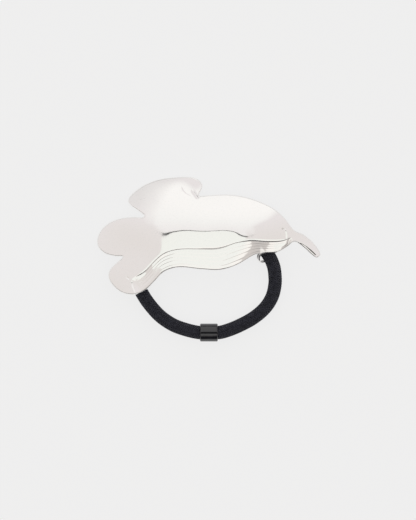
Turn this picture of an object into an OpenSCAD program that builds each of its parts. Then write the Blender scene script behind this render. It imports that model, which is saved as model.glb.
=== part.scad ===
// Hair tie: a cast metal ornament whose two wire rings hold a round elastic band.
// It lies face up, on its rings, its flap and the band. X runs along the ornament, Y towards the flap.
// The origin is under the middle of the whole hair tie, on the surface that it lies on.

/* [Ornament] */
// Length of the ornament from the left lobe to the tip of the tail
ornament_length = 80.4; // [79.4:0.1:81.4]
// Thickness of the cast wall, and of its rounded rim
wall = 1.6; // [1.4:0.1:2]
// How far the crown stands above the rim along the middle of the body
crown = 4.2; // [3.4:0.1:5]
// Height of the step from the ledge up to the upper layer
step = 1; // [0.6:0.1:1.4]
// Width of the slope of that step
step_width = 0.5; // [0.3:0.1:1]
// Lean of the lower side away from the surface, in degrees
back_lean = 10; // [10:0.2:11]
// Lean of the tail end away from the surface, in degrees
side_lean = 4; // [3:0.5:4.5]

/* [Rings] */
// Thickness of the ring wire
ring_wire = 0.8; // [0.7:0.05:0.9]
// Radius of a ring to the middle of its wire
ring_radius = 3.75; // [3.75:0.05:3.9]
// Lean of a ring along the band, in degrees
ring_lean = 30; // [20:1:30]

/* [Band] */
// Thickness of the elastic band
band_d = 5; // [4.6:0.1:5]

/* [Sleeve] */
// Length of the sleeve
sleeve_length = 6.4; // [5:0.1:7]
// Outer diameter of the sleeve
sleeve_d = 6.5; // [6.2:0.1:7]
// Bore of the sleeve
sleeve_bore = 5.3; // [5.2:0.05:5.5]

/* [Hidden] */
size_share = ornament_length / 80.4;

// Crest points: the feet of the ribs that shape the shell.
// Columns: x, y, and the share of the crown that the crest has there
crest = [
    [38.2, 2.7, 0.08],    // 0 end of the tail
    [35.9, 5.2, 0.18],    // 1 middle of the tail
    [33, 7.5, 0.3],       // 2 tail
    [30, 8.9, 0.44],      // 3 root of the tail
    [26.5, 10, 0.64],     // 4 body, right end
    [22.5, 11, 0.8],      // 5 body
    [18.5, 11.7, 0.9],    // 6 body
    [14, 12.2, 0.97],     // 7 body
    [9, 12.6, 1],         // 8 body
    [3.5, 12.7, 1],       // 9 body
    [-3, 12.6, 1],        // 10 body
    [-10, 12.2, 1],       // 11 body, root of the flap
    [-16, 11, 0.95],      // 12 body
    [-21, 8.6, 0.85],     // 13 fork between the two left lobes
    [-27, 8.4, 0.72],     // 14 left lobe
    [-32.6, 7.6, 0.58],   // 15 end of the left lobe
    [-24.5, 2.2, 0.72],   // 16 lower lobe
    [-28.3, -5.2, 0.52],  // 17 end of the lower lobe
    [-11.5, 17.6, 0.85],  // 18 root of the flap
    [-12.5, 22.6, 0.6],   // 19 middle of the flap
    [-18.5, 22.8, 0.5],   // 20 flap
    [-24, 21.6, 0.34],    // 21 left end of the flap
    [-6.3, 25.4, 0.4]     // 22 right end of the flap
];

// Outline points, clockwise from the left tip of the flap.
// Columns: x, y, row of the crest table where its rib ends,
// share of the rib that the ledge takes, share of the full step there
outline = [
    [-29.1, 21.2, 21, 0.5, 0],
    [-27.5, 23.7, 21, 0.5, 0],
    [-23.2, 26.8, 21, 0.5, 0],
    [-17.4, 28.9, 20, 0.5, 0],
    [-10.6, 29.7, 19, 0.5, 0],
    [-6, 29.6, 22, 0.5, 0],
    [-3.2, 28.5, 22, 0.5, 0],
    [-2, 26.6, 22, 0.5, 0],
    [-2.4, 24.9, 22, 0.5, 0],
    [-3.1, 23.6, 19, 0.5, 0],
    [-2.8, 22.8, 18, 0.5, 0],
    [-1, 22.8, 11, 0.5, 0],
    [2, 22.9, 10, 0.5, 0],
    [6.2, 23.1, 9, 0.5, 0],
    [11, 22.8, 8, 0.5, 0],
    [15.6, 21.9, 7, 0.5, 0],
    [20, 20.2, 6, 0.5, 0],
    [24, 18, 5, 0.5, 0],
    [27.5, 14.8, 4, 0.7, 0],
    [30.6, 10.8, 3, 0.7, 0.5],
    [34.1, 9, 2, 0.5, 0],
    [37.1, 6.6, 1, 0.5, 0],
    [39.4, 3.7, 0, 0.5, 0],
    [40.2, 1.6, 0, 0.5, 0],
    [38.9, 0.4, 0, 0.5, 0],
    [37.2, 1.4, 0, 0.5, 0],
    [34.6, 3.7, 1, 0.5, 0],
    [32, 5.6, 2, 0.5, 0],
    [30.3, 5.8, 3, 0.55, 0.8],
    [28.2, 4.1, 4, 0.5, 1],
    [24.8, 2.4, 5, 0.37, 1],
    [20.6, 2.1, 6, 0.36, 1],
    [16.6, 1.4, 7, 0.43, 1],
    [10.4, -2.1, 8, 0.53, 1],
    [4.4, -4, 9, 0.41, 1],
    [-2.6, -3.8, 10, 0.42, 1],
    [-10.4, -3.1, 11, 0.41, 1],
    [-15.6, -4.5, 12, 0.43, 1],
    [-18.8, -7.5, 13, 0.39, 1],
    [-21.6, -10.4, 16, 0.43, 1],
    [-24.2, -12.2, 17, 0.62, 0.8],
    [-27.4, -12.9, 17, 0.55, 0.3],
    [-31.3, -12, 17, 0.5, 0],
    [-34.4, -9.5, 17, 0.5, 0],
    [-36, -6.6, 17, 0.5, 0],
    [-35.5, -3.8, 17, 0.5, 0],
    [-33.3, -1.4, 16, 0.5, 0],
    [-31, 0.7, 13, 0.5, 0],
    [-33.6, 0.9, 14, 0.5, 0],
    [-37, 1.8, 15, 0.5, 0],
    [-39.4, 3.8, 15, 0.5, 0],
    [-40.2, 6.2, 15, 0.5, 0],
    [-39.6, 9, 15, 0.5, 0],
    [-37.8, 11.6, 15, 0.5, 0],
    [-34.7, 13.8, 15, 0.5, 0],
    [-30.7, 15, 14, 0.5, 0],
    [-26.6, 15.3, 13, 0.5, 0],
    [-24.1, 15.1, 12, 0.5, 0],
    [-23.3, 15.7, 11, 0.5, 0],
    [-24.3, 16.5, 18, 0.5, 0],
    [-26.2, 17.9, 19, 0.5, 0],
    [-28.2, 19.4, 20, 0.5, 0]
];
// Ribs to each outline point
spans = 3;

// Angles round the rim, from its back edge to its outermost point
rim_angles = [-90, -45, 0];
// Shares of a rib at which the back of the shell has its rings, from the crest outwards
back_shares = [1, 0.68, 0.34];
// Shares of the way from the top of the step to the crest at which the front has its upper rings
upper_shares = [0, 0.3, 0.62, 1];

// How far each turn of a ring lies from the ring's middle
turn_offset = 0.45 * ring_wire;

// Radius of the bead of solder, and its height over the wire's middle
solder_r = 0.7;
solder_rise = 0.2;

// Places of the two rings, and the way that each one faces, in degrees
right_ring = [20.9, 2.1];
right_heading = 135;
left_ring = [-25.8, -8.2];
left_heading = 101;

// Middle of the sleeve
sleeve_place = [0.2, -26.5, sleeve_d / 2];

// Route of the band's middle line from one end in the sleeve round to the other.
// Columns: x, y, height
route = [
    [0.4, -26.5, sleeve_d / 2], [3.8, -26.5, sleeve_d / 2], [7, -25.7, 2.9], [11, -24.1, 2.6],
    [16, -21.4, 2.6], [20.2, -17.9, 2.6], [22.9, -13.8, 2.6], [24, -9.4, 2.9],
    [24, -5.6, 3.4], [23.4, -2.2, 3.8], [21.8, 1.2, 3.9], [19.3, 4.6, 3.6],
    [15.8, 8, 3.3], [10.5, 10.3, 2.9], [4.5, 11.4, 2.7], [-2, 11.4, 2.6],
    [-8, 10.5, 2.6], [-14, 8.6, 2.7], [-19.2, 5.6, 2.9], [-23.2, 1.6, 3.3],
    [-25.6, -3.4, 3.8], [-25.9, -8.2, 3.9], [-24, -12.1, 3.7], [-21.5, -16, 3],
    [-17.6, -20.4, 2.6], [-13, -23.6, 2.6], [-8.3, -25.4, 2.8],
    [-3.4, -26.5, sleeve_d / 2], [0, -26.5, sleeve_d / 2]
];
// Sides of the band's section, and its sections to each point of the route
band_sides = 12;
band_spans = 2;

// A smooth curve from b to c through a, b, c and d
function smooth(a, b, c, d, t) =
    0.5 * (2 * b + (c - a) * t + (2 * a - 5 * b + 4 * c - d) * t * t + (3 * b - a - 3 * c + d) * t * t * t);

function mix(a, b, t) = a + (b - a) * t;

// Height that the two leans give to a point, and that height over the lowest point of the rim
function lean(p) = tan(side_lean) * p.x - tan(back_lean) * p.y;
function lift(p) = lean(p) - lowest_lean;

// One rib: its outline point, its foot on the crest, the crest's rise, the ledge's share and its drop
function rib(row, t) =
    let (
        n = len(outline),
        before = outline[(row + n - 1) % n],
        here = outline[row],
        next = outline[(row + 1) % n],
        after = outline[(row + 2) % n],
        edge = smooth([before.x, before.y], [here.x, here.y], [next.x, next.y], [after.x, after.y], t),
        foot = mix(crest[here[2]], crest[next[2]], t)
    )
    [size_share * edge, size_share * [foot.x, foot.y], crown * foot[2],
     mix(here[3], next[3], t), step * mix(here[4], next[4], t)];

ribs = [for (row = [0:len(outline) - 1], i = [0:spans - 1]) rib(row, i / spans)];
lowest_lean = min([for (r = ribs) lean(mix(r[0], r[1], wall / 2 / norm(r[1] - r[0])))]);

// Height of the front over the rim, at a share of the way from the rim to the crest
function front_rise(r, share) =
    r[2] * (1 - pow(1 - share, 2)) - (share <= r[3] ? r[4] * share / r[3] : 0);

// Height of the back over the rim, which sinks with the ledge but has no step
function back_rise(r, share) =
    r[2] * (1 - pow(1 - share, 2)) - r[4] * min(share / r[3], (1 - share) / (1 - r[3]));

// A point of the shell, inset from the outline and raised over the rim's back face
function at_inset(r, inset, rise) =
    let (p = mix(r[0], r[1], inset / norm(r[1] - r[0])))
    [p.x, p.y, lift(p) + rise];

// All points of one rib, from the crest on the back, round the rim, to the crest on the front.
// The rim's round ends where it meets the slope of the front
function section(r) =
    let (
        reach = norm(r[1] - r[0]),
        round_r = wall / 2,
        inner = reach - round_r,
        rim_end = 90 - atan(2 * r[2] / inner),
        top_of_step = min(r[3] + step_width / inner, 0.5 + r[3] / 2),
        front_shares = concat([r[3] / 2, r[3]], [for (u = upper_shares) mix(top_of_step, 1, u)])
    )
    concat(
        [for (s = back_shares) at_inset(r, round_r + inner * s, back_rise(r, s))],
        [for (a = concat(rim_angles, [rim_end / 2, rim_end]))
            at_inset(r, round_r * (1 - cos(a)), round_r * (1 + sin(a)))],
        [for (s = front_shares) at_inset(r, round_r + inner * s, wall + front_rise(r, s))]
    );

function rounded(p) = [for (c = p) round(c * 1000) / 1000];

function are_apart(a, b, c) = a != b && b != c && c != a;

module shell() {
    sections = [for (r = ribs) section(r)];
    n = len(sections);
    m = len(sections[0]);
    points = [for (s = sections, p = s) rounded(p)];
    triangles = [
        for (i = [0:n - 1], j = [0:m - 2])
            let (a = i * m + j, b = i * m + j + 1, c = (i + 1) % n * m + j + 1, d = (i + 1) % n * m + j)
            for (t = [[a, c, b], [a, d, c]])
                if (are_apart(points[t[0]], points[t[1]], points[t[2]])) t
    ];
    polyhedron(points, triangles);
}

// A ring of two turns of wire that leans along the band, with the bead of solder at its top
module wire_ring(place, heading) {
    reach = ring_radius * cos(ring_lean) + ring_wire / 2 + turn_offset * sin(ring_lean);
    translate([place.x, place.y, reach])
    rotate([0, 0, heading]) {
        rotate([0, 90 + ring_lean, 0])
        rotate_extrude($fn = 48)
        for (side = [-1, 1])
            translate([ring_radius, side * turn_offset])
            circle(d = ring_wire, $fn = 24);
        translate([ring_radius * sin(ring_lean), 0, ring_radius * cos(ring_lean) + solder_rise])
        sphere(r = solder_r, $fn = 24);
    }
}

module ornament() {
    color("silver") {
        shell();
        wire_ring(right_ring, right_heading);
        wire_ring(left_ring, left_heading);
    }
}

module elastic_band() {
    n = len(route);
    line = [
        for (i = [0:n - 2], j = [0:band_spans - 1])
            smooth(route[max(i - 1, 0)], route[i], route[i + 1], route[min(i + 2, n - 1)], j / band_spans),
        route[n - 1]
    ];
    last = len(line) - 1;
    rings = [
        for (i = [0:last])
            let (
                ahead = line[min(i + 1, last)] - line[max(i - 1, 0)],
                side = cross([0, 0, 1], ahead) / norm(cross([0, 0, 1], ahead)),
                up = cross(ahead, side) / norm(ahead)
            )
            for (k = [0:band_sides - 1])
                line[i] + band_d / 2 * (cos(k * 360 / band_sides) * side + sin(k * 360 / band_sides) * up)
    ];
    skin = [
        for (i = [0:last - 1], k = [0:band_sides - 1])
            let (a = i * band_sides + k, b = i * band_sides + (k + 1) % band_sides)
            for (t = [[a, b + band_sides, b], [a, a + band_sides, b + band_sides]]) t
    ];
    ends = [
        [for (k = [0:band_sides - 1]) k],
        [for (k = [band_sides - 1:-1:0]) last * band_sides + k]
    ];
    color("#26262e")
    polyhedron(rings, concat(skin, ends));
}

module sleeve() {
    color("#141418")
    translate(sleeve_place)
    rotate([0, 90, 0])
    difference() {
        cylinder(d = sleeve_d, h = sleeve_length, center = true, $fn = 64);
        cylinder(d = sleeve_bore, h = 2 * sleeve_length, center = true, $fn = 64);
    }
}

ornament();
elastic_band();
sleeve();
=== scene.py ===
import math

import bmesh
import bpy
import numpy as np
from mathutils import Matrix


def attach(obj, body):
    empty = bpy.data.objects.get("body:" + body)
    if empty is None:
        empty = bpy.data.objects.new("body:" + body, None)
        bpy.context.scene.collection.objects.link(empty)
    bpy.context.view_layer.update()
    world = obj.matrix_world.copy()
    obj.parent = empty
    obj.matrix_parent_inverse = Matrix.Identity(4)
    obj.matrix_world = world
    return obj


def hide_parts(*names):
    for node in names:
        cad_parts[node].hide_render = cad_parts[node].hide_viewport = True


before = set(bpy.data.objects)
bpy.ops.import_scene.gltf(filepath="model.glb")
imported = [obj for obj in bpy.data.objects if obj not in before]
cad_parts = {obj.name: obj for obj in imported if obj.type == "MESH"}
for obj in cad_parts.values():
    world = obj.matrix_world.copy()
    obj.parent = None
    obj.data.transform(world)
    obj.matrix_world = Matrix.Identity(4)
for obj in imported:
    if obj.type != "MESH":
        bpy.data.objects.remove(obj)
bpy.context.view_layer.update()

# The hair tie lies face up on a lit table, in a tent of white cloth. Two duller cloths close the tent's
# ends, its front is dark low down, and the lens looks straight down. A narrow slit with frayed edges runs
# across the roof behind the lens. The polished ornament mirrors all of these.
MM = 0.001
# The frame and the point over the origin in pixels, and the size of a pixel on the table
FRAME_PX = (416, 520)
ORIGIN_PX = (208.35, 259.05)
MM_PER_PX = 0.36
SUBJECT_HEIGHT = 5 * MM
CAMERA_DISTANCE = 1.0
FLOOR_REACH = 6.0
FLOOR_GLOW = 0.79
FLOOR_WHITE = 0.1
# The roof's cloth and the two end cloths, from the tent's front (0) to its back (1)
ROOF_CLOTH = [
    (0.04, (0.05, 0.05, 0.05, 1)), (0.12, (0.3, 0.29, 0.29, 1)), (0.19, (0.95, 0.93, 0.9, 1)),
    (0.29, (1.01, 0.985, 0.945, 1)), (0.35, (0.94, 0.955, 0.92, 1)), (0.58, (0.926, 0.94, 0.9, 1)),
    (0.61, (0.905, 0.885, 0.88, 1)), (0.77, (0.955, 0.953, 0.94, 1)), (0.92, (1.015, 1.005, 0.99, 1)),
    (1.0, (1.0, 0.99, 0.98, 1)),
]
END_CLOTH = [
    (0.07, (0.04, 0.038, 0.038, 1)), (0.14, (0.2, 0.19, 0.18, 1)), (0.2, (0.6, 0.57, 0.55, 1)),
    (0.3, (0.7, 0.66, 0.63, 1)), (0.5, (0.8, 0.765, 0.745, 1)), (0.8, (0.85, 0.815, 0.82, 1)),
    (0.95, (0.79, 0.775, 0.77, 1)),
]
DARK = (0.05, 0.05, 0.05, 1)
HORIZON = (0.12, 0.115, 0.12, 1)
BACKDROP = (0.88, 0.88, 0.88, 1)
# The left cloth starts at LEFT_HEM beside the lens. The right one starts at the lens, but at RIGHT_HEM in a
# band in front, whose two blurred borders are given. Far back, both hems are drawn out softly.
LEFT_HEM = 0.25
RIGHT_HEM = 0.3
BAND_NEAR_LENS = (-0.07, -0.13)
BAND_IN_FRONT = (-0.52, -0.46)
SOFT_HEMS_FROM = 0.4
# Where the corner low at the front left, and the band above the table, turn dark
CORNER_BLUR = (-1.12, -1.28)
HORIZON_BLUR = (0.25, 0.02)
# The slit's middle, half its length, and how wide and how frayed it is
SLIT_X = -0.125
SLIT_Y = 0.2
SLIT_REACH = 0.14
SLIT_WIDTH = 0.003
SLIT_FRAY = 0.012


class Shade:
    """A socket of a shader. Operators on it add Math nodes, and node() adds any other."""

    def __init__(self, tree, socket=None):
        self.tree = tree
        self.socket = socket

    def node(self, kind, settings=None, sockets=None, output=0):
        """A node of this kind, with its settings set first, then the values or links of its sockets."""
        made = self.tree.nodes.new(kind)
        for name, value in (settings or {}).items():
            if name == "stops":
                ramp = made.color_ramp
                while len(ramp.elements) < len(value):
                    ramp.elements.new(1)
                for element, (place, colour) in zip(ramp.elements, value):
                    element.position = place
                    element.color = colour
            else:
                setattr(made, name, value)
        for name, value in (sockets or {}).items():
            if isinstance(value, Shade):
                self.tree.links.new(value.socket, made.inputs[name])
            else:
                made.inputs[name].default_value = value
        return Shade(self.tree, made.outputs[output] if len(made.outputs) else None)

    def maths(self, operation, *values):
        """A Math node on these values or sockets."""
        return self.node("ShaderNodeMath", {"operation": operation}, dict(enumerate(values)))

    def __add__(self, other):
        return self.maths("ADD", self, other)

    def __radd__(self, other):
        return self.maths("ADD", other, self)

    def __sub__(self, other):
        return self.maths("SUBTRACT", self, other)

    def __rsub__(self, other):
        return self.maths("SUBTRACT", other, self)

    def __mul__(self, other):
        return self.maths("MULTIPLY", self, other)

    def __rmul__(self, other):
        return self.maths("MULTIPLY", other, self)

    def maximum(self, other):
        return self.maths("MAXIMUM", self, other)

    def __abs__(self):
        return self.maths("ABSOLUTE", self)

    def rise(self, start, end):
        """0 up to start, 1 from end on, and smooth in between."""
        return self.node("ShaderNodeMapRange", {"interpolation_type": "SMOOTHSTEP"},
                         {"Value": self, "From Min": start, "From Max": end})

    def mix(self, first, second):
        """The first colour where this mask is 0, the second where it is 1."""
        return self.node("ShaderNodeMix", {"data_type": "RGBA"}, {0: self, 6: first, 7: second}, 2)


camera = bpy.data.objects.new("camera", bpy.data.cameras.new("camera"))
bpy.context.scene.collection.objects.link(camera)
bpy.context.scene.camera = camera
camera.location = (
    (FRAME_PX[0] / 2 - ORIGIN_PX[0]) * MM_PER_PX * MM,
    (ORIGIN_PX[1] - FRAME_PX[1] / 2) * MM_PER_PX * MM,
    SUBJECT_HEIGHT + CAMERA_DISTANCE,
)
camera.data.lens = camera.data.sensor_width * CAMERA_DISTANCE / (FRAME_PX[1] * MM_PER_PX * MM)
camera.data.clip_end = 4 * FLOOR_REACH


def new_mesh(name, points, faces, smooth=True):
    """A piece with these points and faces, in the scene."""
    mesh = bpy.data.meshes.new(name)
    mesh.from_pydata([tuple(p) for p in points], [], [tuple(f) for f in faces])
    mesh.validate()
    mesh.polygons.foreach_set("use_smooth", [smooth] * len(mesh.polygons))
    mesh.update()
    made = bpy.data.objects.new(name, mesh)
    bpy.context.scene.collection.objects.link(made)
    return made


def new_material(piece, name):
    """An empty material on the piece, as the start of its shader."""
    material = bpy.data.materials.new(name)
    material.use_nodes = True
    material.node_tree.nodes.clear()
    piece.data.materials.append(material)
    return Shade(material.node_tree)


corners = [(x * FLOOR_REACH, y * FLOOR_REACH, 0) for x, y in ((-1, -1), (1, -1), (1, 1), (-1, 1))]
floor = new_mesh("floor", corners, [(0, 1, 2, 3)], smooth=False)
paper = new_material(floor, "lit_table")
lit = paper.node("ShaderNodeBsdfPrincipled", None, {
    "Base Color": (FLOOR_WHITE, FLOOR_WHITE, FLOOR_WHITE, 1),
    "Roughness": 0.9,
    "Specular IOR Level": 0.0,
    "Emission Color": (1, 1, 1, 1),
    "Emission Strength": FLOOR_GLOW,
})
paper.node("ShaderNodeOutputMaterial", None, {"Surface": lit})

world = bpy.data.worlds.new("tent")
world.use_nodes = True
world.node_tree.nodes.clear()
bpy.context.scene.world = world
bpy.context.scene.view_settings.view_transform = "Standard"
tent = Shade(world.node_tree)
ray = tent.node("ShaderNodeTexCoord")
ray_x, ray_y, ray_z = (tent.node("ShaderNodeSeparateXYZ", None, {0: ray}, axis) for axis in range(3))
front_to_back = ray_y * 0.5 + 0.5
cloth = tent.node("ShaderNodeValToRGB", {"stops": ROOF_CLOTH}, {"Fac": front_to_back})
end_cloth = tent.node("ShaderNodeValToRGB", {"stops": END_CLOTH}, {"Fac": front_to_back})
soft = (ray_y - SOFT_HEMS_FROM).maximum(0)
left_end = (0 - ray_x).rise(LEFT_HEM - 0.25 * soft, LEFT_HEM + 0.025 + 0.02 * soft)
right_hem = ray_y.rise(*BAND_NEAR_LENS) * ray_y.rise(*BAND_IN_FRONT) * RIGHT_HEM
right_end = ray_x.rise(right_hem - 0.01, right_hem + 0.02 + 0.35 * soft)
cloth = left_end.mix(cloth, end_cloth)
cloth = right_end.mix(cloth, end_cloth)
front_left_corner = (ray_x + ray_y).rise(*CORNER_BLUR)
cloth = front_left_corner.mix(cloth, DARK)
cloth = ray_z.rise(*HORIZON_BLUR).mix(cloth, HORIZON)
ragged = tent.node("ShaderNodeTexNoise", None, {"Vector": ray, "Scale": 28.0, "Detail": 2.0}, 0)
fray = SLIT_FRAY * ragged
off_slit = abs(ray_y - SLIT_Y + fray)
off_middle = abs(ray_x - SLIT_X)
slit = off_slit.rise(SLIT_WIDTH + 1.5 * SLIT_FRAY * ragged, fray)
slit = slit * off_middle.rise(SLIT_REACH, SLIT_REACH - 0.005)
slit = slit * ray_z.rise(0.0, 0.1)
cloth = slit.mix(cloth, DARK)
seen = tent.node("ShaderNodeLightPath")
cloth = seen.mix(cloth, BACKDROP)
glow = tent.node("ShaderNodeBackground", None, {"Color": cloth, "Strength": 1.0})
tent.node("ShaderNodeOutputWorld", None, {"Surface": glow})

# The elastic is a rubber core in a braided cover of black yarn, 5 mm thick. It lies in a slack loop, runs
# through both rings under the ornament, and its two ends meet in the sleeve.
SLEEVE_D = 6.5
# Its middle line, from one end in the sleeve round to the other: x, y and height
ROUTE = [
    (0.4, -26.5, SLEEVE_D / 2), (3.8, -26.5, SLEEVE_D / 2), (7, -25.7, 2.9), (11, -24.1, 2.6),
    (16, -21.4, 2.6), (20.2, -17.9, 2.6), (22.9, -13.8, 2.6), (24, -9.4, 2.9),
    (24, -5.6, 3.4), (23.4, -2.2, 3.8), (21.8, 1.2, 3.9), (19.3, 4.6, 3.6),
    (15.8, 8, 3.3), (10.5, 10.3, 2.9), (4.5, 11.4, 2.7), (-2, 11.4, 2.6),
    (-8, 10.5, 2.6), (-14, 8.6, 2.7), (-19.2, 5.6, 2.9), (-23.2, 1.6, 3.3),
    (-25.6, -3.4, 3.8), (-25.9, -8.2, 3.9), (-24, -12.1, 3.7), (-21.5, -16, 3),
    (-17.6, -20.4, 2.6), (-13, -23.6, 2.6), (-8.3, -25.4, 2.8),
    (-3.4, -26.5, SLEEVE_D / 2), (0, -26.5, SLEEVE_D / 2),
]
CORE_R = 1.95
CORE_SIDES = 24
# The cover: YARNS yarns run each way round the core at BRAID_ANGLE, and each waves in and out by BRAID_WAVE
BRAID_R = 2.2
BRAID_WAVE = 0.17
BRAID_ANGLE = 40
YARNS = 20
YARN_WIDTH = 0.56
YARN_THICKNESS = 0.24
STEP_LENGTH = 0.29


def smooth_point(a, b, c, d, t):
    """A point of the smooth curve from b to c through a, b, c and d."""
    return 0.5 * (2 * b + (c - a) * t + (2 * a - 5 * b + 4 * c - d) * t**2 + (3 * b - a - 3 * c + d) * t**3)


def smooth_line(points, spans):
    """An open smooth curve through the points."""
    p = np.array(points, float)
    last = len(p) - 1
    line = [smooth_point(p[max(i - 1, 0)], p[i], p[i + 1], p[min(i + 2, last)], j / spans)
            for i in range(last) for j in range(spans)]
    return np.array(line + [p[last]])


def even_line(line, step):
    """The same line with points at even steps, and how far along it each of them lies."""
    along = np.concatenate([[0], np.cumsum(np.linalg.norm(np.diff(line, axis=0), axis=1))])
    places = np.linspace(0, along[-1], int(round(along[-1] / step)) + 1)
    return np.stack([np.interp(places, along, line[:, k]) for k in range(3)], 1), places


def across(line):
    """At each point of a line, the direction across it in the table's plane, and the one above it."""
    ahead = np.gradient(line, axis=0)
    ahead /= np.linalg.norm(ahead, axis=1)[:, None]
    side = np.cross((0, 0, 1), ahead)
    side /= np.linalg.norm(side, axis=1)[:, None]
    return side, np.cross(ahead, side)


def sweep(rings):
    """Points and faces of a closed tube through rings of equal size, each an array of points."""
    n, m = len(rings), len(rings[0])
    index = np.arange(n * m).reshape(n, m)
    a, b = index[:-1], index[1:]
    quads = np.stack([a, np.roll(a, -1, 1), np.roll(b, -1, 1), b], -1).reshape(-1, 4)
    faces = [tuple(q) for q in quads] + [tuple(index[0][::-1]), tuple(index[-1])]
    return np.concatenate(rings), faces


def joined(tubes):
    """Several tubes as one set of points and faces."""
    points, faces, start = [], [], 0
    for tube_points, tube_faces in tubes:
        points.append(tube_points)
        faces += [tuple(int(v) + start for v in f) for f in tube_faces]
        start += len(tube_points)
    return np.concatenate(points), faces


middle, along = even_line(smooth_line(ROUTE, 16), STEP_LENGTH)
side, up = across(middle)
core_angles = np.linspace(0, 2 * math.pi, CORE_SIDES, endpoint=False)
core_rings = [m + CORE_R * (np.cos(core_angles)[:, None] * s + np.sin(core_angles)[:, None] * u)
              for m, s, u in zip(middle, side, up)]
turn = math.tan(math.radians(BRAID_ANGLE)) / BRAID_R
crossing = YARNS * turn * along / math.pi
half_turn = YARN_WIDTH / 2 / math.cos(math.radians(BRAID_ANGLE)) / BRAID_R
tubes = [sweep(core_rings)]
for way in (1, -1):
    for yarn in range(YARNS):
        angle = way * (2 * math.pi * yarn / YARNS + turn * along)
        over = way * BRAID_WAVE * np.cos(math.pi / 2 * (crossing + 2 * yarn - way * 0.5))
        yarn_corners = []
        for spread, rise in ((-1, 0), (0, 1), (1, 0), (0, -1)):
            place = (angle + spread * half_turn)[:, None]
            radius = (BRAID_R + over + rise * YARN_THICKNESS / 2)[:, None]
            yarn_corners.append(middle + radius * (np.cos(place) * side + np.sin(place) * up))
        tubes.append(sweep(list(np.stack(yarn_corners, 1))))
points, faces = joined(tubes)
elastic = new_mesh("braided_elastic", points * MM, faces)

shade = new_material(elastic, "black_braid")
place = shade.node("ShaderNodeTexCoord", None, None, 3)
fibre = shade.node("ShaderNodeTexNoise", None, {"Vector": place, "Scale": 4200.0, "Detail": 3.0}, 0)
tone = shade.node("ShaderNodeTexNoise", None, {"Vector": place, "Scale": 800.0, "Detail": 2.0}, 0)
yarn_colour = tone.rise(0.3, 0.7).mix((0.011, 0.012, 0.020, 1), (0.026, 0.0275, 0.042, 1))
fuzz = shade.node("ShaderNodeBump", None, {"Height": fibre, "Strength": 0.5, "Distance": 0.00008})
cover = shade.node("ShaderNodeBsdfPrincipled", None, {
    "Base Color": yarn_colour,
    "Roughness": 0.75,
    "Specular IOR Level": 0.3,
    "Sheen Weight": 0.12,
    "Sheen Roughness": 0.4,
    "Normal": fuzz,
})
shade.node("ShaderNodeOutputMaterial", None, {"Surface": cover})
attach(elastic, "root")
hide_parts("elastic_band")

# The sleeve is a short tube with a black gloss finish, rolled from strip and pressed over the elastic's two
# ends. Both its rims are rounded, and the strip's edges meet in a fine seam along its top.
SLEEVE_PLACE = (0.2, -26.5, SLEEVE_D / 2)
SLEEVE_LENGTH = 6.4
SLEEVE_BORE = 5.3
SLEEVE_EDGE = 0.4
SLEEVE_SIDES = 180
EDGE_POINTS = 8
# The seam's place and half its width in degrees round the sleeve, its depth, and how sharply it dips
SEAM_ANGLE = 91.5
SEAM_WIDTH = 9
SEAM_DEPTH = 0.5
SEAM_SHARPNESS = 1.6

half = SLEEVE_LENGTH / 2
outer, bore = SLEEVE_D / 2, SLEEVE_BORE / 2
bead = SLEEVE_EDGE * 0.4
turned = np.linspace(0, math.pi / 2, EDGE_POINTS)
right_rim = [(half + SLEEVE_EDGE * (math.sin(a) - 1), outer + SLEEVE_EDGE * (math.cos(a) - 1))
             for a in turned]
left_rim = [(-x, r) for x, r in right_rim[::-1]]
body = [(x, outer) for x in np.linspace(-half + SLEEVE_EDGE, half - SLEEVE_EDGE, 14)[1:-1]]
inside = [(half, bore + bead), (half - bead, bore), (-half + bead, bore), (-half, bore + bead)]
profile = left_rim + body + right_rim + inside
spread = np.linspace(0, 360, SLEEVE_SIDES, endpoint=False)
spread = np.sort(np.concatenate([spread, SEAM_ANGLE + SEAM_WIDTH * np.linspace(-1.2, 1.2, 25)]))
points = []
for angle in spread:
    away = (angle - SEAM_ANGLE) / SEAM_WIDTH
    seam = SEAM_DEPTH * (1 - min(1, math.hypot(away, 0.02)))**SEAM_SHARPNESS
    for x, r in profile:
        r -= seam if r > bore + bead else 0
        turn = math.radians(angle)
        points.append((x, r * math.cos(turn), r * math.sin(turn)))
points = np.array(points) + SLEEVE_PLACE
index = np.arange(len(points)).reshape(len(spread), len(profile))
ahead, beside = np.roll(index, -1, 0), np.roll(index, -1, 1)
faces = np.stack([index, beside, np.roll(ahead, -1, 1), ahead], -1).reshape(-1, 4)
sleeve = new_mesh("sleeve_tube", points * MM, faces)
shade = new_material(sleeve, "black_gloss")
place = shade.node("ShaderNodeTexCoord", None, None, 3)
handling = shade.node("ShaderNodeTexNoise", None, {"Vector": place, "Scale": 900.0, "Detail": 4.0}, 0)
wear = handling.rise(0.4, 0.75)
dents = shade.node("ShaderNodeTexNoise", None, {"Vector": place, "Scale": 420.0, "Detail": 1.0}, 0)
skin = shade.node("ShaderNodeBump", None, {"Height": dents, "Strength": 1.0, "Distance": 0.00001})
gloss = shade.node("ShaderNodeBsdfPrincipled", None, {
    "Base Color": wear.mix((0.003, 0.003, 0.006, 1), (0.008, 0.008, 0.013, 1)),
    "Roughness": wear * 0.05 + 0.03,
    "IOR": 1.72,
    "Normal": skin,
})
shade.node("ShaderNodeOutputMaterial", None, {"Surface": gloss})
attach(sleeve, "root")
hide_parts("sleeve")

# The ornament is one zinc casting, polished and plated until it is a mirror. Its crowned front swells up from
# a rounded edge, and along its lower side a sharp step drops to a ribbed ledge. Its back is hollow.
CROWN = 4.2
WALL = 1.6
EDGE_R = WALL / 2
# How high the dome stands over the edge, as a share of its height at the crest
EDGE_SHARE = 0.3
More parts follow.
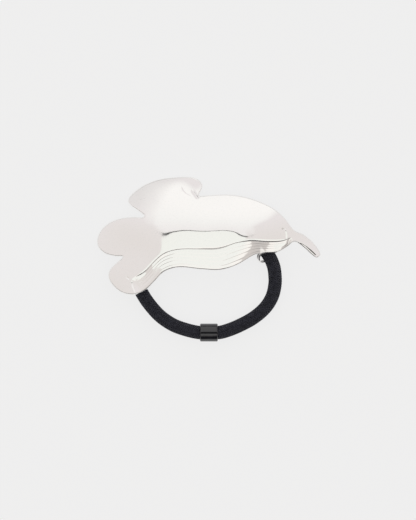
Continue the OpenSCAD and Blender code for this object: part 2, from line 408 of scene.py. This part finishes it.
# How far in from the edge its front is rolled over, on the body and on the tail
EDGE_ROLL = 0.55
TAIL_ROLL = 0.6
STEP = 1.0
# How much the front dips just above the step, and how far that dip reaches
SHOULDER = 0.12
SHOULDER_WIDTH = 0.9
BACK_LEAN = math.tan(math.radians(10))
SIDE_LEAN = math.tan(math.radians(4))
# The crest, where the ribs of the front end: x, y, share of the crown
CREST = [
    (38.2, 2.7, 0.08), (35.9, 5.2, 0.18), (33, 7.5, 0.32), (30, 8.9, 0.5), (26.5, 10, 0.67), (22.5, 11, 0.8),
    (18.5, 11.7, 0.9), (14, 12.2, 0.97), (9, 12.6, 1), (3.5, 12.7, 1), (-3, 12.6, 1), (-10, 12.2, 1),
    (-16, 11, 0.96), (-21, 8.6, 0.88), (-27, 8.4, 0.74), (-32.6, 7.6, 0.56), (-24.5, 2.2, 0.76),
    (-28.3, -5.2, 0.52), (-11.5, 17.6, 0.85), (-12.5, 22.6, 0.6), (-18.5, 22.8, 0.56), (-24, 21.6, 0.45),
    (-6.3, 25.4, 0.4),
]
# The outline, clockwise: x, y, row of the crest where its rib ends, share of the rib that the ledge takes,
# and whether the ledge is there
OUTLINE = [
    (-29.1, 21.2, 21, 0.5, 0), (-27.5, 23.7, 21, 0.5, 0), (-23.2, 26.8, 21, 0.5, 0),
    (-17.4, 28.9, 20, 0.5, 0), (-10.6, 29.7, 19, 0.5, 0), (-6, 29.6, 22, 0.5, 0), (-3.2, 28.5, 22, 0.5, 0),
    (-2, 26.6, 22, 0.5, 0), (-2.4, 24.9, 22, 0.5, 0), (-3.1, 23.6, 19, 0.5, 0), (-2.8, 22.8, 18, 0.5, 0),
    (-1, 23, 11, 0.5, 0), (2, 23.2, 10, 0.5, 0), (6.2, 23.4, 9, 0.5, 0), (11, 23, 8, 0.5, 0),
    (15.6, 21.9, 7, 0.5, 0), (20, 20.2, 6, 0.5, 0), (24, 18, 5, 0.5, 0), (27.5, 14.8, 4, 0.5, 0),
    (30.6, 10.8, 3, 0.5, 0), (34.1, 9, 2, 0.5, 0), (37.1, 6.6, 1, 0.5, 0), (39.4, 3.7, 0, 0.5, 0),
    (40.2, 1.6, 0, 0.5, 0), (38.9, 0.4, 0, 0.5, 0), (37.2, 1.4, 0, 0.5, 0), (34.6, 3.7, 1, 0.5, 0),
    (32, 5.6, 2, 0.5, 0.5), (30.3, 5.8, 3, 0.5, 1), (28.2, 4.1, 4, 0.32, 1), (24.8, 2.4, 5, 0.37, 1),
    (20.6, 2.1, 6, 0.36, 1), (16.6, 1.4, 7, 0.43, 1), (10.4, -2.1, 8, 0.53, 1), (4.4, -4, 9, 0.41, 1),
    (-2.6, -3.8, 10, 0.42, 1), (-10.4, -3.1, 11, 0.41, 1), (-15.6, -4.5, 12, 0.4, 1),
    (-18.8, -7.5, 13, 0.34, 1), (-21.6, -10.4, 16, 0.38, 1), (-24.2, -12.2, 17, 0.66, 1),
    (-27.4, -12.9, 17, 0.62, 1), (-31.3, -12, 17, 0.6, 1), (-34.4, -9.5, 17, 0.5, 0),
    (-36, -6.6, 17, 0.5, 0), (-35.5, -3.8, 17, 0.5, 0), (-33.3, -1.4, 16, 0.5, 0), (-31, 0.7, 13, 0.5, 0),
    (-33.6, 0.9, 14, 0.5, 0), (-37, 1.8, 15, 0.5, 0), (-39.4, 3.8, 15, 0.5, 0), (-40.2, 6.2, 15, 0.5, 0),
    (-39.6, 9, 15, 0.5, 0), (-37.8, 11.6, 15, 0.5, 0), (-34.7, 13.8, 15, 0.5, 0), (-30.7, 15, 14, 0.5, 0),
    (-26.6, 15.3, 13, 0.5, 0), (-24.1, 15.1, 12, 0.5, 0), (-23.3, 15.7, 11, 0.5, 0),
    (-24.3, 16.5, 18, 0.5, 0), (-26.2, 17.9, 19, 0.5, 0), (-28.2, 19.4, 20, 0.5, 0),
]
# Outline rows along the step and rows where the ledge dies out, the least share of a rib that lies below the
# step, and how high the dome stands over the edge in the notches
STEP_ROWS = range(29, 38)
LAST_LEDGE_ROWS = range(38, 41)
STEP_INSET = 0.05
NOTCH_RISES = {0: 0.9, 55: 1.2, 56: 2.0, 57: 2.6, 58: 2.9, 59: 2.7, 60: 1.8, 61: 1.2}
# Ribs to each outline row, and rings of points on the back, the rim, its roll, the ledge, the step and above
RIBS_EACH = 12
BACK_RINGS = 8
RIM_RINGS = 5
ROLL_RINGS = 9
LEDGE_RINGS = 14
STEP_RINGS = 5
UPPER_RINGS = 20
# Where the polished front leans just so far, as its reflections show: x, y, lean along x
LEFT_LEANS = [
    (-23.4, 15.8, 0.062), (-20.2, 11.4, 0.062), (-18, 8.2, 0.062), (-17.1, 5, 0.062), (-17.2, 2.5, 0.062),
    (-18.5, 0, 0.062), (-27, 12, 0.12), (-25, 6, 0.12), (-22, -1, 0.085), (-25, -5, 0.09), (-27, -9, 0.1),
    (-31, 8, 0.16), (-18, 16, 0.035), (-20, 19, 0.055), (-14, 20, 0.02), (-10, 17, 0.01), (-24, 22, 0.09),
    (-27, 21, 0.12), (-16.3, 11, 0.044), (-25.5, 14, 0.08), (-28, 14, 0.12), (-26, -9, 0.12),
    (-27, -11, 0.12), (-29.5, -11.5, 0.13), (-24, -7, 0.1), (-22, 13.5, 0.06), (-15, 27.4, 0.08),
    (-11, 28.2, 0.07), (-7, 28.2, 0.09), (-4.6, 27, 0.1), (-20, 25, 0.08),
]
RIGHT_LEANS = [
    (22.9, 16.9, -0.07), (19, 13.5, -0.07), (16, 11, -0.07), (13.9, 9, -0.07), (13.9, 7, -0.07),
    (3, 10, -0.01), (8, 16, -0.03), (12, 15.5, -0.045), (17, 17, -0.06), (6, 20, -0.03), (14, 20, -0.05),
    (15, 11.7, -0.05), (20, 8, -0.13), (24, 8, -0.18), (24, 12, -0.14), (26, 15, -0.14), (28, 12, -0.19),
    (30, 9, -0.22), (33, 7.5, -0.21), (36, 5, -0.18), (31.5, 9.6, -0.2), (33.5, 8.6, -0.2),
]
# The same, with the lean along y
CROSS_LEANS = [
    (-17.8, 8.3, 0.076), (-15.7, 9.4, 0.076), (-14, 9.9, 0.076), (-15, 7.3, 0.108), (-17.3, 6, 0.1),
    (-11, 10.2, 0.076), (-7.2, 10.4, 0.076), (-3.2, 10.1, 0.076), (2, 10.2, 0.076), (8.3, 10.1, 0.076),
    (11.2, 9.3, 0.076), (13.5, 8.1, 0.076), (-14, 4, 0.16), (-14, 1, 0.2), (-10, 4, 0.18), (-18, 3, 0.12),
    (8, 5.5, 0.2), (0, 4, 0.24), (20, 7, 0.16),
]
# The dome is a smooth surface through control heights on a grid
GRID = 3.0
GRID_START = np.array([-48.0, -21.0])
GRID_SIZE = (35, 22)


def spline_weights(at, leaning=None):
    """For each place, the 16 control heights that count there and their weights, for height or lean."""
    cell = (at - GRID_START) / GRID
    base = np.floor(cell).astype(int)
    weights = []
    for axis in (0, 1):
        t = (cell - base)[:, axis]
        if axis == leaning:
            parts = [-(1 - t)**2 / 2, (3 * t**2 - 4 * t) / 2, (1 + 2 * t - 3 * t**2) / 2, t**2 / 2]
            weights.append(np.stack(parts, 1) / GRID)
        else:
            parts = [(1 - t)**3, 3 * t**3 - 6 * t**2 + 4, 1 + 3 * t + 3 * t**2 - 3 * t**3, t**3]
            weights.append(np.stack(parts, 1) / 6)
    near = np.arange(4)
    index = (base[:, 0, None, None] + near[:, None]) * GRID_SIZE[1] + base[:, 1, None, None] + near
    return index.reshape(-1, 16), (weights[0][:, :, None] * weights[1][:, None, :]).reshape(-1, 16)


def wanted_rows(at, values, trust, leaning=None):
    """Equations that ask the surface for these heights or leans at these places."""
    index, weights = spline_weights(np.array(at, float), leaning)
    out = np.zeros((len(index), GRID_SIZE[0] * GRID_SIZE[1]))
    np.put_along_axis(out, index, weights * trust, 1)
    return out, np.array(values, float) * trust


def even_rows(pattern, axis, trust):
    """Equations that keep the control heights in an even run along an axis."""
    numbers = np.arange(GRID_SIZE[0] * GRID_SIZE[1]).reshape(GRID_SIZE)
    runs = np.moveaxis(numbers, axis, 0)
    kept = len(runs) - len(pattern) + 1
    index = np.stack([runs[k:k + kept].ravel() for k in range(len(pattern))], 1)
    out = np.zeros((len(index), numbers.size))
    np.put_along_axis(out, index, np.tile(np.array(pattern, float) * trust, (len(index), 1)), 1)
    return out, np.zeros(len(index))


rows = np.array(OUTLINE, float)
crest = np.array(CREST, float)
count = len(rows)
crest_rise = CROWN * crest[:, 2]
row_rise = crest_rise[rows[:, 2].astype(int)]
edge_share = np.full(count, EDGE_SHARE)
for row, rise in NOTCH_RISES.items():
    edge_share[row] = rise / row_rise[row]
free = [i for i in range(count) if i not in STEP_ROWS and i not in LAST_LEDGE_ROWS]
step_on = rows[list(STEP_ROWS)]
step_foot = crest[step_on[:, 2].astype(int)]
share = (STEP_INSET + (1 - STEP_INSET) * step_on[:, 3])[:, None]
step_xy = step_on[:, :2] * (1 - share) + step_foot[:, :2] * share
step_rise = CROWN * step_foot[:, 2] * (1 - (1 - step_on[:, 3])**2)
left, right, cross = (np.array(v) for v in (LEFT_LEANS, RIGHT_LEANS, CROSS_LEANS))
# The dome is asked for the heights of the crest, the tail, the edge and the step, then for the leans, and
# then for an even run along both axes. After the values stands how strongly each counts.
asked = [
    wanted_rows(crest[:, :2], crest_rise, 0.7),
    wanted_rows(crest[:4, :2], crest_rise[:4], 3.0),
    wanted_rows(rows[free, :2], (edge_share * row_rise)[free], 0.4),
    wanted_rows(step_xy, step_rise, 0.5),
    wanted_rows(left[:, :2], left[:, 2], 60.0, 0),
    wanted_rows(right[:, :2], right[:, 2], 60.0, 0),
    wanted_rows(cross[:, :2], cross[:, 2], 60.0, 1),
    even_rows((1, -3, 3, -1), 0, 0.9),
    even_rows((1, -3, 3, -1), 1, 0.5),
    even_rows((1, -2, 1), 0, 0.08),
    even_rows((1, -2, 1), 1, 0.08),
]
system = np.concatenate([a for a, _ in asked])
answers = np.concatenate([b for _, b in asked])
control = np.linalg.solve(system.T @ system, system.T @ answers)


def dome(at):
    """Rise of the smooth front above the edge's level."""
    index, weights = spline_weights(at)
    return (control[index] * weights).sum(1)


def line_distance(at, points):
    """Distance to an open line, how far along it (0 to 1), and on which side (positive to its left)."""
    points = np.array(points, float)
    spans = np.diff(points, axis=0)
    lengths = np.linalg.norm(spans, axis=1)
    starts = np.concatenate([[0], np.cumsum(lengths)])
    best = np.full(len(at), 1e9)
    along = np.zeros(len(at))
    turn = np.zeros(len(at))
    for p, v, length, first in zip(points, spans, lengths, starts):
        t = np.clip(((at - p) @ v) / length**2, 0, 1)
        gap = at - p - t[:, None] * v
        distance = np.hypot(gap[:, 0], gap[:, 1])
        closer = distance < best
        best = np.where(closer, distance, best)
        along = np.where(closer, (first + t * length) / starts[-1], along)
        turn = np.where(closer, np.sign(v[0] * gap[:, 1] - v[1] * gap[:, 0]), turn)
    return best, along, turn


def ease(value, start, end):
    """0 up to start, 1 from end on, and smooth in between."""
    t = np.clip((value - start) / (end - start), 0, 1)
    return t * t * (3 - 2 * t)


# Along the ledge, by the x of the outline: x and the step's width
STEP_WIDTHS = [
    (-24, 0.5), (-19, 0.3), (-14, 0.1), (-4, 0.1), (-1, 0.36), (5, 0.36), (8, 0.1), (12, 0.1), (16, 0.36),
    (24, 0.36), (28, 0.25),
]
# x, and how much wider the edge's roll is there than elsewhere
LEDGE_ROLL = [(-27, 0), (-24, 0.35), (-18, 0.35), (-15, 0), (6, 0), (9, -0.25), (20, -0.25), (28, 0)]
# x, rise of the ledge's outer edge, share of the step's height, swell of the ledge between them
LEDGE = [
    (-27, 0.7, 0, -0.3), (-24, 0.4, 0.08, -0.3), (-22, 0.22, 0.42, -0.4), (-19, 0.1, 0.85, -0.45),
    (-17, 0.1, 0.88, -0.4), (-9, 0.3, 1, 0.4), (12, 0.3, 0.9, 0.3), (18, 0.4, 0.95, 0),
    (26, 0.45, 0.9, -0.2), (30, 0.3, 0.3, 0), (36, 0.2, 0.1, 0),
]
# x, and share of the ridges' height
RIDGE_SHARES = [(-24, 0), (-21, 1), (-17, 1), (-12, 0.6), (10, 0.6), (15, 0.22), (26, 0.2), (30, 0)]


def along_ledge(table, column=1):
    """A column of one of these tables at each rib."""
    return np.interp(edge[:, 0], [row[0] for row in table], [row[column] for row in table])


# Each rib runs from the edge to its foot on the crest. The step lies at foot_depth along it, and is smoothed
# from rib to rib.
STEP_SMOOTHING = 40
LEDGE_SMOOTHING = 5
# The outline rows across which the tail begins and ends
TAIL_BEGINS = (18, 19.5)
TAIL_ENDS = (27.5, 29)
steps = np.arange(RIBS_EACH) / RIBS_EACH
edge, foot, ledge, ledge_on = [], [], [], []
for i in range(count):
    before, here, after, beyond = (rows[(i + k) % count] for k in (-1, 0, 1, 2))
    for t in steps:
        edge.append(smooth_point(before[:2], here[:2], after[:2], beyond[:2], t))
        foot.append(crest[int(here[2]), :2] * (1 - t) + crest[int(after[2]), :2] * t)
        ledge.append(here[3] * (1 - t) + after[3] * t)
        ledge_on.append(here[4] * (1 - t) + after[4] * t)
edge, foot, ledge, ledge_on = (np.array(v) for v in (edge, foot, ledge, ledge_on))
ribs = len(edge)
row_place = np.arange(ribs) / RIBS_EACH
on_tail = ease(row_place, *TAIL_BEGINS) * (1 - ease(row_place, *TAIL_ENDS))
tangent = np.roll(edge, -1, 0) - np.roll(edge, 1, 0)
tangent /= np.linalg.norm(tangent, axis=1)[:, None]
inward = np.column_stack([tangent[:, 1], -tangent[:, 0]])
rib_way = foot - edge
reach = np.linalg.norm(rib_way, axis=1)
rib_way /= reach[:, None]
square_on = np.clip((reach - 4) / 4, 0, 1)
roll = EDGE_ROLL * (1 - on_tail) + TAIL_ROLL * on_tail
roll = roll + along_ledge(LEDGE_ROLL) * ledge_on
roll = np.minimum(roll, 0.85 * reach)
inner = reach - EDGE_R
foot_depth = EDGE_R + inner * ledge
step_line = edge + rib_way * foot_depth[:, None]
for _ in range(STEP_SMOOTHING):
    step_line = (np.roll(step_line, 1, 0) + 2 * step_line + np.roll(step_line, -1, 0)) / 4
for _ in range(LEDGE_SMOOTHING):
    ledge_on = (np.roll(ledge_on, 1) + 2 * ledge_on + np.roll(ledge_on, -1)) / 4
foot_depth = np.clip(((step_line - edge) * rib_way).sum(1), 0.3 * reach, 0.85 * reach)
step_width = along_ledge(STEP_WIDTHS)
top_depth = np.minimum(foot_depth + step_width, (foot_depth + reach) / 2)


def at_depth(depth):
    """The place at a depth along each rib, square to the edge at first and then towards the crest."""
    swing = (1 - np.clip(depth / reach, 0, 1))**5 * square_on
    return edge + rib_way * depth[:, None] + (inward - rib_way) * (depth * swing)[:, None]


# A low bead bends round the end of the body's tongue and runs on along the ledge.
HOOK_BEAD = 0.17
HOOK_WIDTH = 0.65
HOOK = smooth_line([
    (27.7, 12), (28.2, 10.6), (28.5, 9), (28.5, 7.3), (27.9, 5.8), (26.8, 4.7), (25.2, 4), (23.4, 3.7),
], 8)
# The flap's tip folds over the body along a crease, and curls beside it.
CREASE = [(-5.9, 25.3), (-4.6, 23.6), (-3.2, 21.5)]
CREASE_DEPTH = 0.15
CREASE_WIDTH = 0.22
LIP_HEIGHT = 0.2
LIP_WIDTH = 0.6
CURL = [(-10.2, 26.6), (-9.4, 24.6), (-8.2, 23.4), (-5.9, 22.3)]
CURL_DEPTH = 0.06
CURL_WIDTH = 0.3
# The ledge dies out at the left end in a short dimple, and a small dot is pressed in at the right.
DIMPLE = [(-29.6, -6.2), (-28.2, -7.3)]
DIMPLE_DEPTH = 0.12
DIMPLE_WIDTH = 0.22
DOT = np.array([26.7, 10.75])
DOT_SIZE = np.array([0.34, 0.24])
DOT_DEPTH = 0.4
# The tail's lower side is turned down along a fold.
FOLD_DROP = 0.48
FOLD_WIDTH = 0.36
TAIL_FOLD = [(31.5, 6.7), (33.6, 5.4), (35, 4.6), (36.5, 3.3), (38.2, 1.7), (39, 0.9)]


def groove(gap, width):
    """1 in the middle of a groove or bead, fading on both sides."""
    return np.exp(-(gap / width)**2)


def details(at):
    """The crease with its raised lip, the curl, the dimple and the dot."""
    gap, along, turn = line_distance(at, CREASE)
    faded = ease(along, 0, 0.35) * (1 - ease(along, 0.8, 1))
    beside = np.where(turn > 0, -gap, gap)
    out = LIP_HEIGHT * faded * ease(beside, -0.25, 0.1) * groove(gap, LIP_WIDTH)
    out -= CREASE_DEPTH * faded * groove(gap, CREASE_WIDTH)
    gap, along, turn = line_distance(at, CURL)
    faded = ease(along, 0, 0.3) * (1 - ease(along, 0.7, 1))
    out -= CURL_DEPTH * faded * groove(gap, CURL_WIDTH)
    gap, along, turn = line_distance(at, DIMPLE)
    out -= DIMPLE_DEPTH * groove(gap, DIMPLE_WIDTH) * (1 - (2 * along - 1)**2)
    gap = np.hypot(*((at - DOT) / DOT_SIZE).T)
    return out - DOT_DEPTH * groove(gap, 1)


def tail_fold(at):
    """How far the turned-down lower side of the tail lies below the rest."""
    gap, along, turn = line_distance(at, TAIL_FOLD)
    low_side = np.where(turn < 0, gap, -gap)
    share = 0.5 + 0.5 * ease(along, 0.45, 0.65)
    width = FOLD_WIDTH * share
    faded = ease(along, 0, 0.3) * (1 - ease(along, 0.9, 1)) * (gap < 3)
    return FOLD_DROP * share * faded * ease(low_side, -width, width)


def hook(at):
    """Height of the low bead round the end of the tongue."""
    gap, along, turn = line_distance(at, HOOK)
    return HOOK_BEAD * ease(along, 0, 0.25) * (1 - ease(along, 0.6, 1)) * groove(gap, HOOK_WIDTH)


# Low ridges run along the ledge at these shares of its width.
RIDGES = (0.2, 0.42, 0.62, 0.8)
RIDGE_HEIGHT = 0.055
RIDGE_WIDTH = 0.012
# Where the ledge ends on the left, the way in which it grows there and half the length of that slope, and
# from which x to which it ends on the right
LEDGE_LEFT_END = np.array([-27.2, -8.7])
LEDGE_LEFT_WAY = np.array([0.85, 0.53])
LEDGE_LEFT_SLOPE = 1.4
LEDGE_RIGHT_END = (28.2, 30.2)
foot_rise = dome(at_depth(foot_depth))
ledge_edge = along_ledge(LEDGE, 1)
ledge_step = along_ledge(LEDGE, 2) * STEP
ledge_swell = along_ledge(LEDGE, 3)
ridge_height = along_ledge(RIDGE_SHARES) * RIDGE_HEIGHT


def ledge_lasts(at):
    """1 along the ledge, fading to 0 across a short slope at each of its ends."""
    past_left = (at - LEDGE_LEFT_END) @ LEDGE_LEFT_WAY
    grown = ease(past_left, -LEDGE_LEFT_SLOPE, LEDGE_LEFT_SLOPE)
    return grown * (1 - ease(at[:, 0], *LEDGE_RIGHT_END))


def front_rise(depth):
    """Rise of the whole front at a depth along each rib: dome, ledge, step and details."""
    at = at_depth(depth)
    high = dome(at)
    v = np.clip(depth / foot_depth, 0, 1)
    swell = v + ledge_swell * v * (1 - v)
    ripple = sum(ease(v, r - RIDGE_WIDTH, r + RIDGE_WIDTH) for r in RIDGES)
    ripple -= len(RIDGES) * ease(v, 0.02, 0.98)
    low = ledge_edge + (foot_rise - ledge_step - ledge_edge) * swell + ridge_height * ripple
    up = ease(depth, foot_depth, top_depth)
    low = np.where(depth > foot_depth, high - ledge_step, low)
    past_step = np.clip((depth - top_depth) / SHOULDER_WIDTH, 0, 1)
    on = ledge_on * ledge_lasts(at)
    high = high - SHOULDER * on * ledge_step / STEP * (1 - past_step)**2
    rise = high * (1 - on) + low * on
    rise = rise * (1 - up) + high * up
    rise = rise + hook(at) * ease(depth, 0, 1.2) - tail_fold(at)
    return at, rise


# Depths of the front's rings of points: the rolled edge, the ledge with its ridges, the step, and above it
depths = [roll * (1 - math.cos(math.pi / 2 * k / (ROLL_RINGS - 1))) for k in range(1, ROLL_RINGS)]
ledge_start = np.minimum(roll, foot_depth * 0.9)
depths = [np.minimum(d, ledge_start * (k + 1) / (ROLL_RINGS - 1)) for k, d in enumerate(depths)]
last = depths[-1]
marks = [k / LEDGE_RINGS for k in range(1, LEDGE_RINGS + 1)]
marks = sorted(marks + [0.99] + [r + k * RIDGE_WIDTH for r in RIDGES for k in (-1, -0.5, 0, 0.5, 1)])
depths += [np.maximum(last, foot_depth * mark) for mark in marks]
depths += [foot_depth + (top_depth - foot_depth) * k / STEP_RINGS for k in range(1, STEP_RINGS + 1)]
upper_shares = [0.01] + [k / UPPER_RINGS for k in range(1, UPPER_RINGS + 1)]
depths += [top_depth + (reach - top_depth) * share for share in upper_shares]

# The points of all ribs, from the crest on the hollow back, round the rim, to the crest on the front
all_xy, all_z = [], []
for k in range(BACK_RINGS):
    s = 1 - k / BACK_RINGS
    depth = EDGE_R + inner * s
    at = at_depth(depth)
    out_of_step = np.where(depth < foot_depth, depth / foot_depth, (reach - depth) / (reach - foot_depth))
    lowered = ledge_step * ledge_on * out_of_step
    rise = dome(at) - dome(at_depth(np.full(ribs, EDGE_R))) * (1 - s)**2 - lowered
    all_xy.append(at)
    all_z.append(np.maximum(rise, 0))
for k in range(RIM_RINGS):
    angle = -math.pi / 2 * (1 - k / RIM_RINGS)
    all_xy.append(at_depth(np.full(ribs, EDGE_R * (1 - math.cos(angle)))))
    all_z.append(np.full(ribs, EDGE_R * (1 + math.sin(angle))))
all_xy.append(edge)
all_z.append(np.full(ribs, EDGE_R))
for depth in depths:
    at, rise = front_rise(depth)
    rounded = np.sqrt(1 - (1 - np.clip(depth / roll, 0, 1))**2)
    all_xy.append(at)
    all_z.append(EDGE_R + (WALL - EDGE_R + rise) * rounded)

# The casting leans up from the table towards its lower side and its tail.
all_xy = np.stack(all_xy, 1)
all_z = np.stack(all_z, 1)
low_level = (SIDE_LEAN * all_xy[:, BACK_RINGS, 0] - BACK_LEAN * all_xy[:, BACK_RINGS, 1]).min()
all_z += SIDE_LEAN * all_xy[..., 0] - BACK_LEAN * all_xy[..., 1] - low_level
points = np.dstack([all_xy, all_z[..., None]])
index = np.arange(points.shape[0] * points.shape[1]).reshape(points.shape[:2])
ahead = np.roll(index, -1, 0)
faces = np.stack([index[:, :-1], ahead[:, :-1], ahead[:, 1:], index[:, 1:]], -1).reshape(-1, 4)
ornament = new_mesh("ornament_shell", points.reshape(-1, 3) * MM, faces)

# The two halves meet along the crest. The faces round the small details are cut finer, and each point of
# the smooth dome is set to its exact height.
JOIN_WITHIN = 0.01 * MM
FINE_REACH = 0.8
FRONT_FACING = 0.3
ON_DOME = 0.03
work = bmesh.new()
work.from_mesh(ornament.data)
bmesh.ops.remove_doubles(work, verts=work.verts, dist=JOIN_WITHIN)
bmesh.ops.recalc_face_normals(work, faces=work.faces)
work.faces.ensure_lookup_table()
middles = np.array([f.calc_center_median() for f in work.faces]) / MM
facing = np.array([f.normal.z for f in work.faces])
near = np.full(len(middles), 1e9)
for line in (CREASE, CURL, DIMPLE, [DOT, DOT + (0, 0.01)]):
    near = np.minimum(near, line_distance(middles[:, :2], line)[0])
chosen = [f for f, gap, up in zip(work.faces, near, facing) if gap < FINE_REACH and up > FRONT_FACING]
fine = {e for f in chosen for e in f.edges}
bmesh.ops.subdivide_edges(work, edges=list(fine), cuts=2, use_grid_fill=True)
work.normal_update()
front = [v for v in work.verts if v.normal.z > FRONT_FACING]
at = np.array([v.co for v in front]) / MM
level = WALL + dome(at[:, :2]) + SIDE_LEAN * at[:, 0] - BACK_LEAN * at[:, 1] - low_level
smooth = np.abs(level - at[:, 2]) < ON_DOME
height = np.where(smooth, level, at[:, 2]) + details(at[:, :2])
for v, z in zip(front, height):
    v.co.z = float(z) * MM
work.to_mesh(ornament.data)
work.free()
ornament.data.polygons.foreach_set("use_smooth", [True] * len(ornament.data.polygons))

shade = new_material(ornament, "mirror_plate")
place = shade.node("ShaderNodeTexCoord", None, None, 3)
waves = shade.node("ShaderNodeTexNoise", None, {"Vector": place, "Scale": 300.0, "Detail": 1.0}, 0)
hazy = shade.node("ShaderNodeTexNoise", None, {"Vector": place, "Scale": 1500.0, "Detail": 4.0}, 0)
polish = shade.node("ShaderNodeBump", None, {"Height": waves, "Strength": 1.0, "Distance": 0.000004})
plate = shade.node("ShaderNodeBsdfPrincipled", None, {
    "Base Color": hazy.rise(0.3, 0.8).mix((0.945, 0.93, 0.915, 1), (0.925, 0.915, 0.905, 1)),
    "Metallic": 1.0,
    "Roughness": hazy * 0.03 + 0.03,
    "Normal": polish,
})
shade.node("ShaderNodeOutputMaterial", None, {"Surface": plate})
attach(ornament, "root")
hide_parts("ornament")

# Each ring is two turns of steel wire round the elastic, plated like the ornament. A lump of solder holds it
# to the ornament's hollow back.
RING_WIRE = 0.8
RING_R = 3.75
RING_LEAN = math.radians(30)
# How far each turn lies from the ring's middle, and how fast the wire crosses from one turn to the next
TURN_OFFSET = 0.45 * RING_WIRE
CROSSING_SPEED = 6
# The right ring and the left one: x, y, and heading in degrees
RINGS = [(20.9, 2.1, 135), (-25.8, -8.2, 101)]
WIRE_SIDES = 14
RING_STEPS = 120
# The lump's radius, half its height, how far its middle lies above the wire's, and its rings of points, from
# SOLDER_SPAN below its middle to SOLDER_SPAN above, as an angle
SOLDER_R = 0.95
SOLDER_HIGH = 0.7
SOLDER_RISE = 0.2
SOLDER_SIDES = 28
SOLDER_LEVELS = 15
SOLDER_SPAN = 1.54
around_solder = np.linspace(0, 2 * math.pi, SOLDER_SIDES, endpoint=False)

tubes = []
for x, y, heading in RINGS:
    raised = RING_R * math.cos(RING_LEAN) + RING_WIRE / 2 + TURN_OFFSET * math.sin(RING_LEAN)
    turned = np.linspace(0, 4 * math.pi, 2 * RING_STEPS + 1)
    offset = TURN_OFFSET * np.clip((turned / (4 * math.pi) - 0.5) * CROSSING_SPEED, -1, 1)
    line = np.column_stack([RING_R * np.cos(turned), RING_R * np.sin(turned), offset])
    ahead = np.gradient(line, axis=0)
    ahead /= np.linalg.norm(ahead, axis=1)[:, None]
    out = np.column_stack([np.cos(turned), np.sin(turned), np.zeros_like(turned)])
    flat = np.cross(ahead, out)
    around = np.linspace(0, 2 * math.pi, WIRE_SIDES, endpoint=False)
    rings = [p + RING_WIRE / 2 * (np.cos(around)[:, None] * o + np.sin(around)[:, None] * f)
             for p, o, f in zip(line, out, flat)]
    tube_points, tube_faces = sweep(rings)
    tilt, turn_z = math.pi / 2 + RING_LEAN, math.radians(heading)
    cos, sin = math.cos(tilt), math.sin(tilt)
    about_y = np.array([[cos, 0, sin], [0, 1, 0], [-sin, 0, cos]])
    cos, sin = math.cos(turn_z), math.sin(turn_z)
    about_z = np.array([[cos, -sin, 0], [sin, cos, 0], [0, 0, 1]])
    tubes.append((tube_points @ about_y.T @ about_z.T + (x, y, raised), tube_faces))
    spot = about_z @ (RING_R * math.sin(RING_LEAN), 0, RING_R * math.cos(RING_LEAN) + SOLDER_RISE)
    lumps = 1 + 0.07 * np.sin(3 * around_solder + heading) + 0.04 * np.sin(5 * around_solder + x)
    lump_rings = []
    for h in np.linspace(-SOLDER_SPAN, SOLDER_SPAN, SOLDER_LEVELS):
        wide = SOLDER_R * lumps * math.cos(h)
        high = np.full(SOLDER_SIDES, SOLDER_HIGH * math.sin(h))
        level_ring = np.column_stack([wide * np.cos(around_solder), wide * np.sin(around_solder), high])
        lump_rings.append(spot + (x, y, raised) + level_ring)
    tubes.append(sweep(lump_rings))
points, faces = joined(tubes)
rings = new_mesh("wire_rings", points * MM, faces)
rings.data.materials.append(ornament.data.materials[0])
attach(rings, "root")
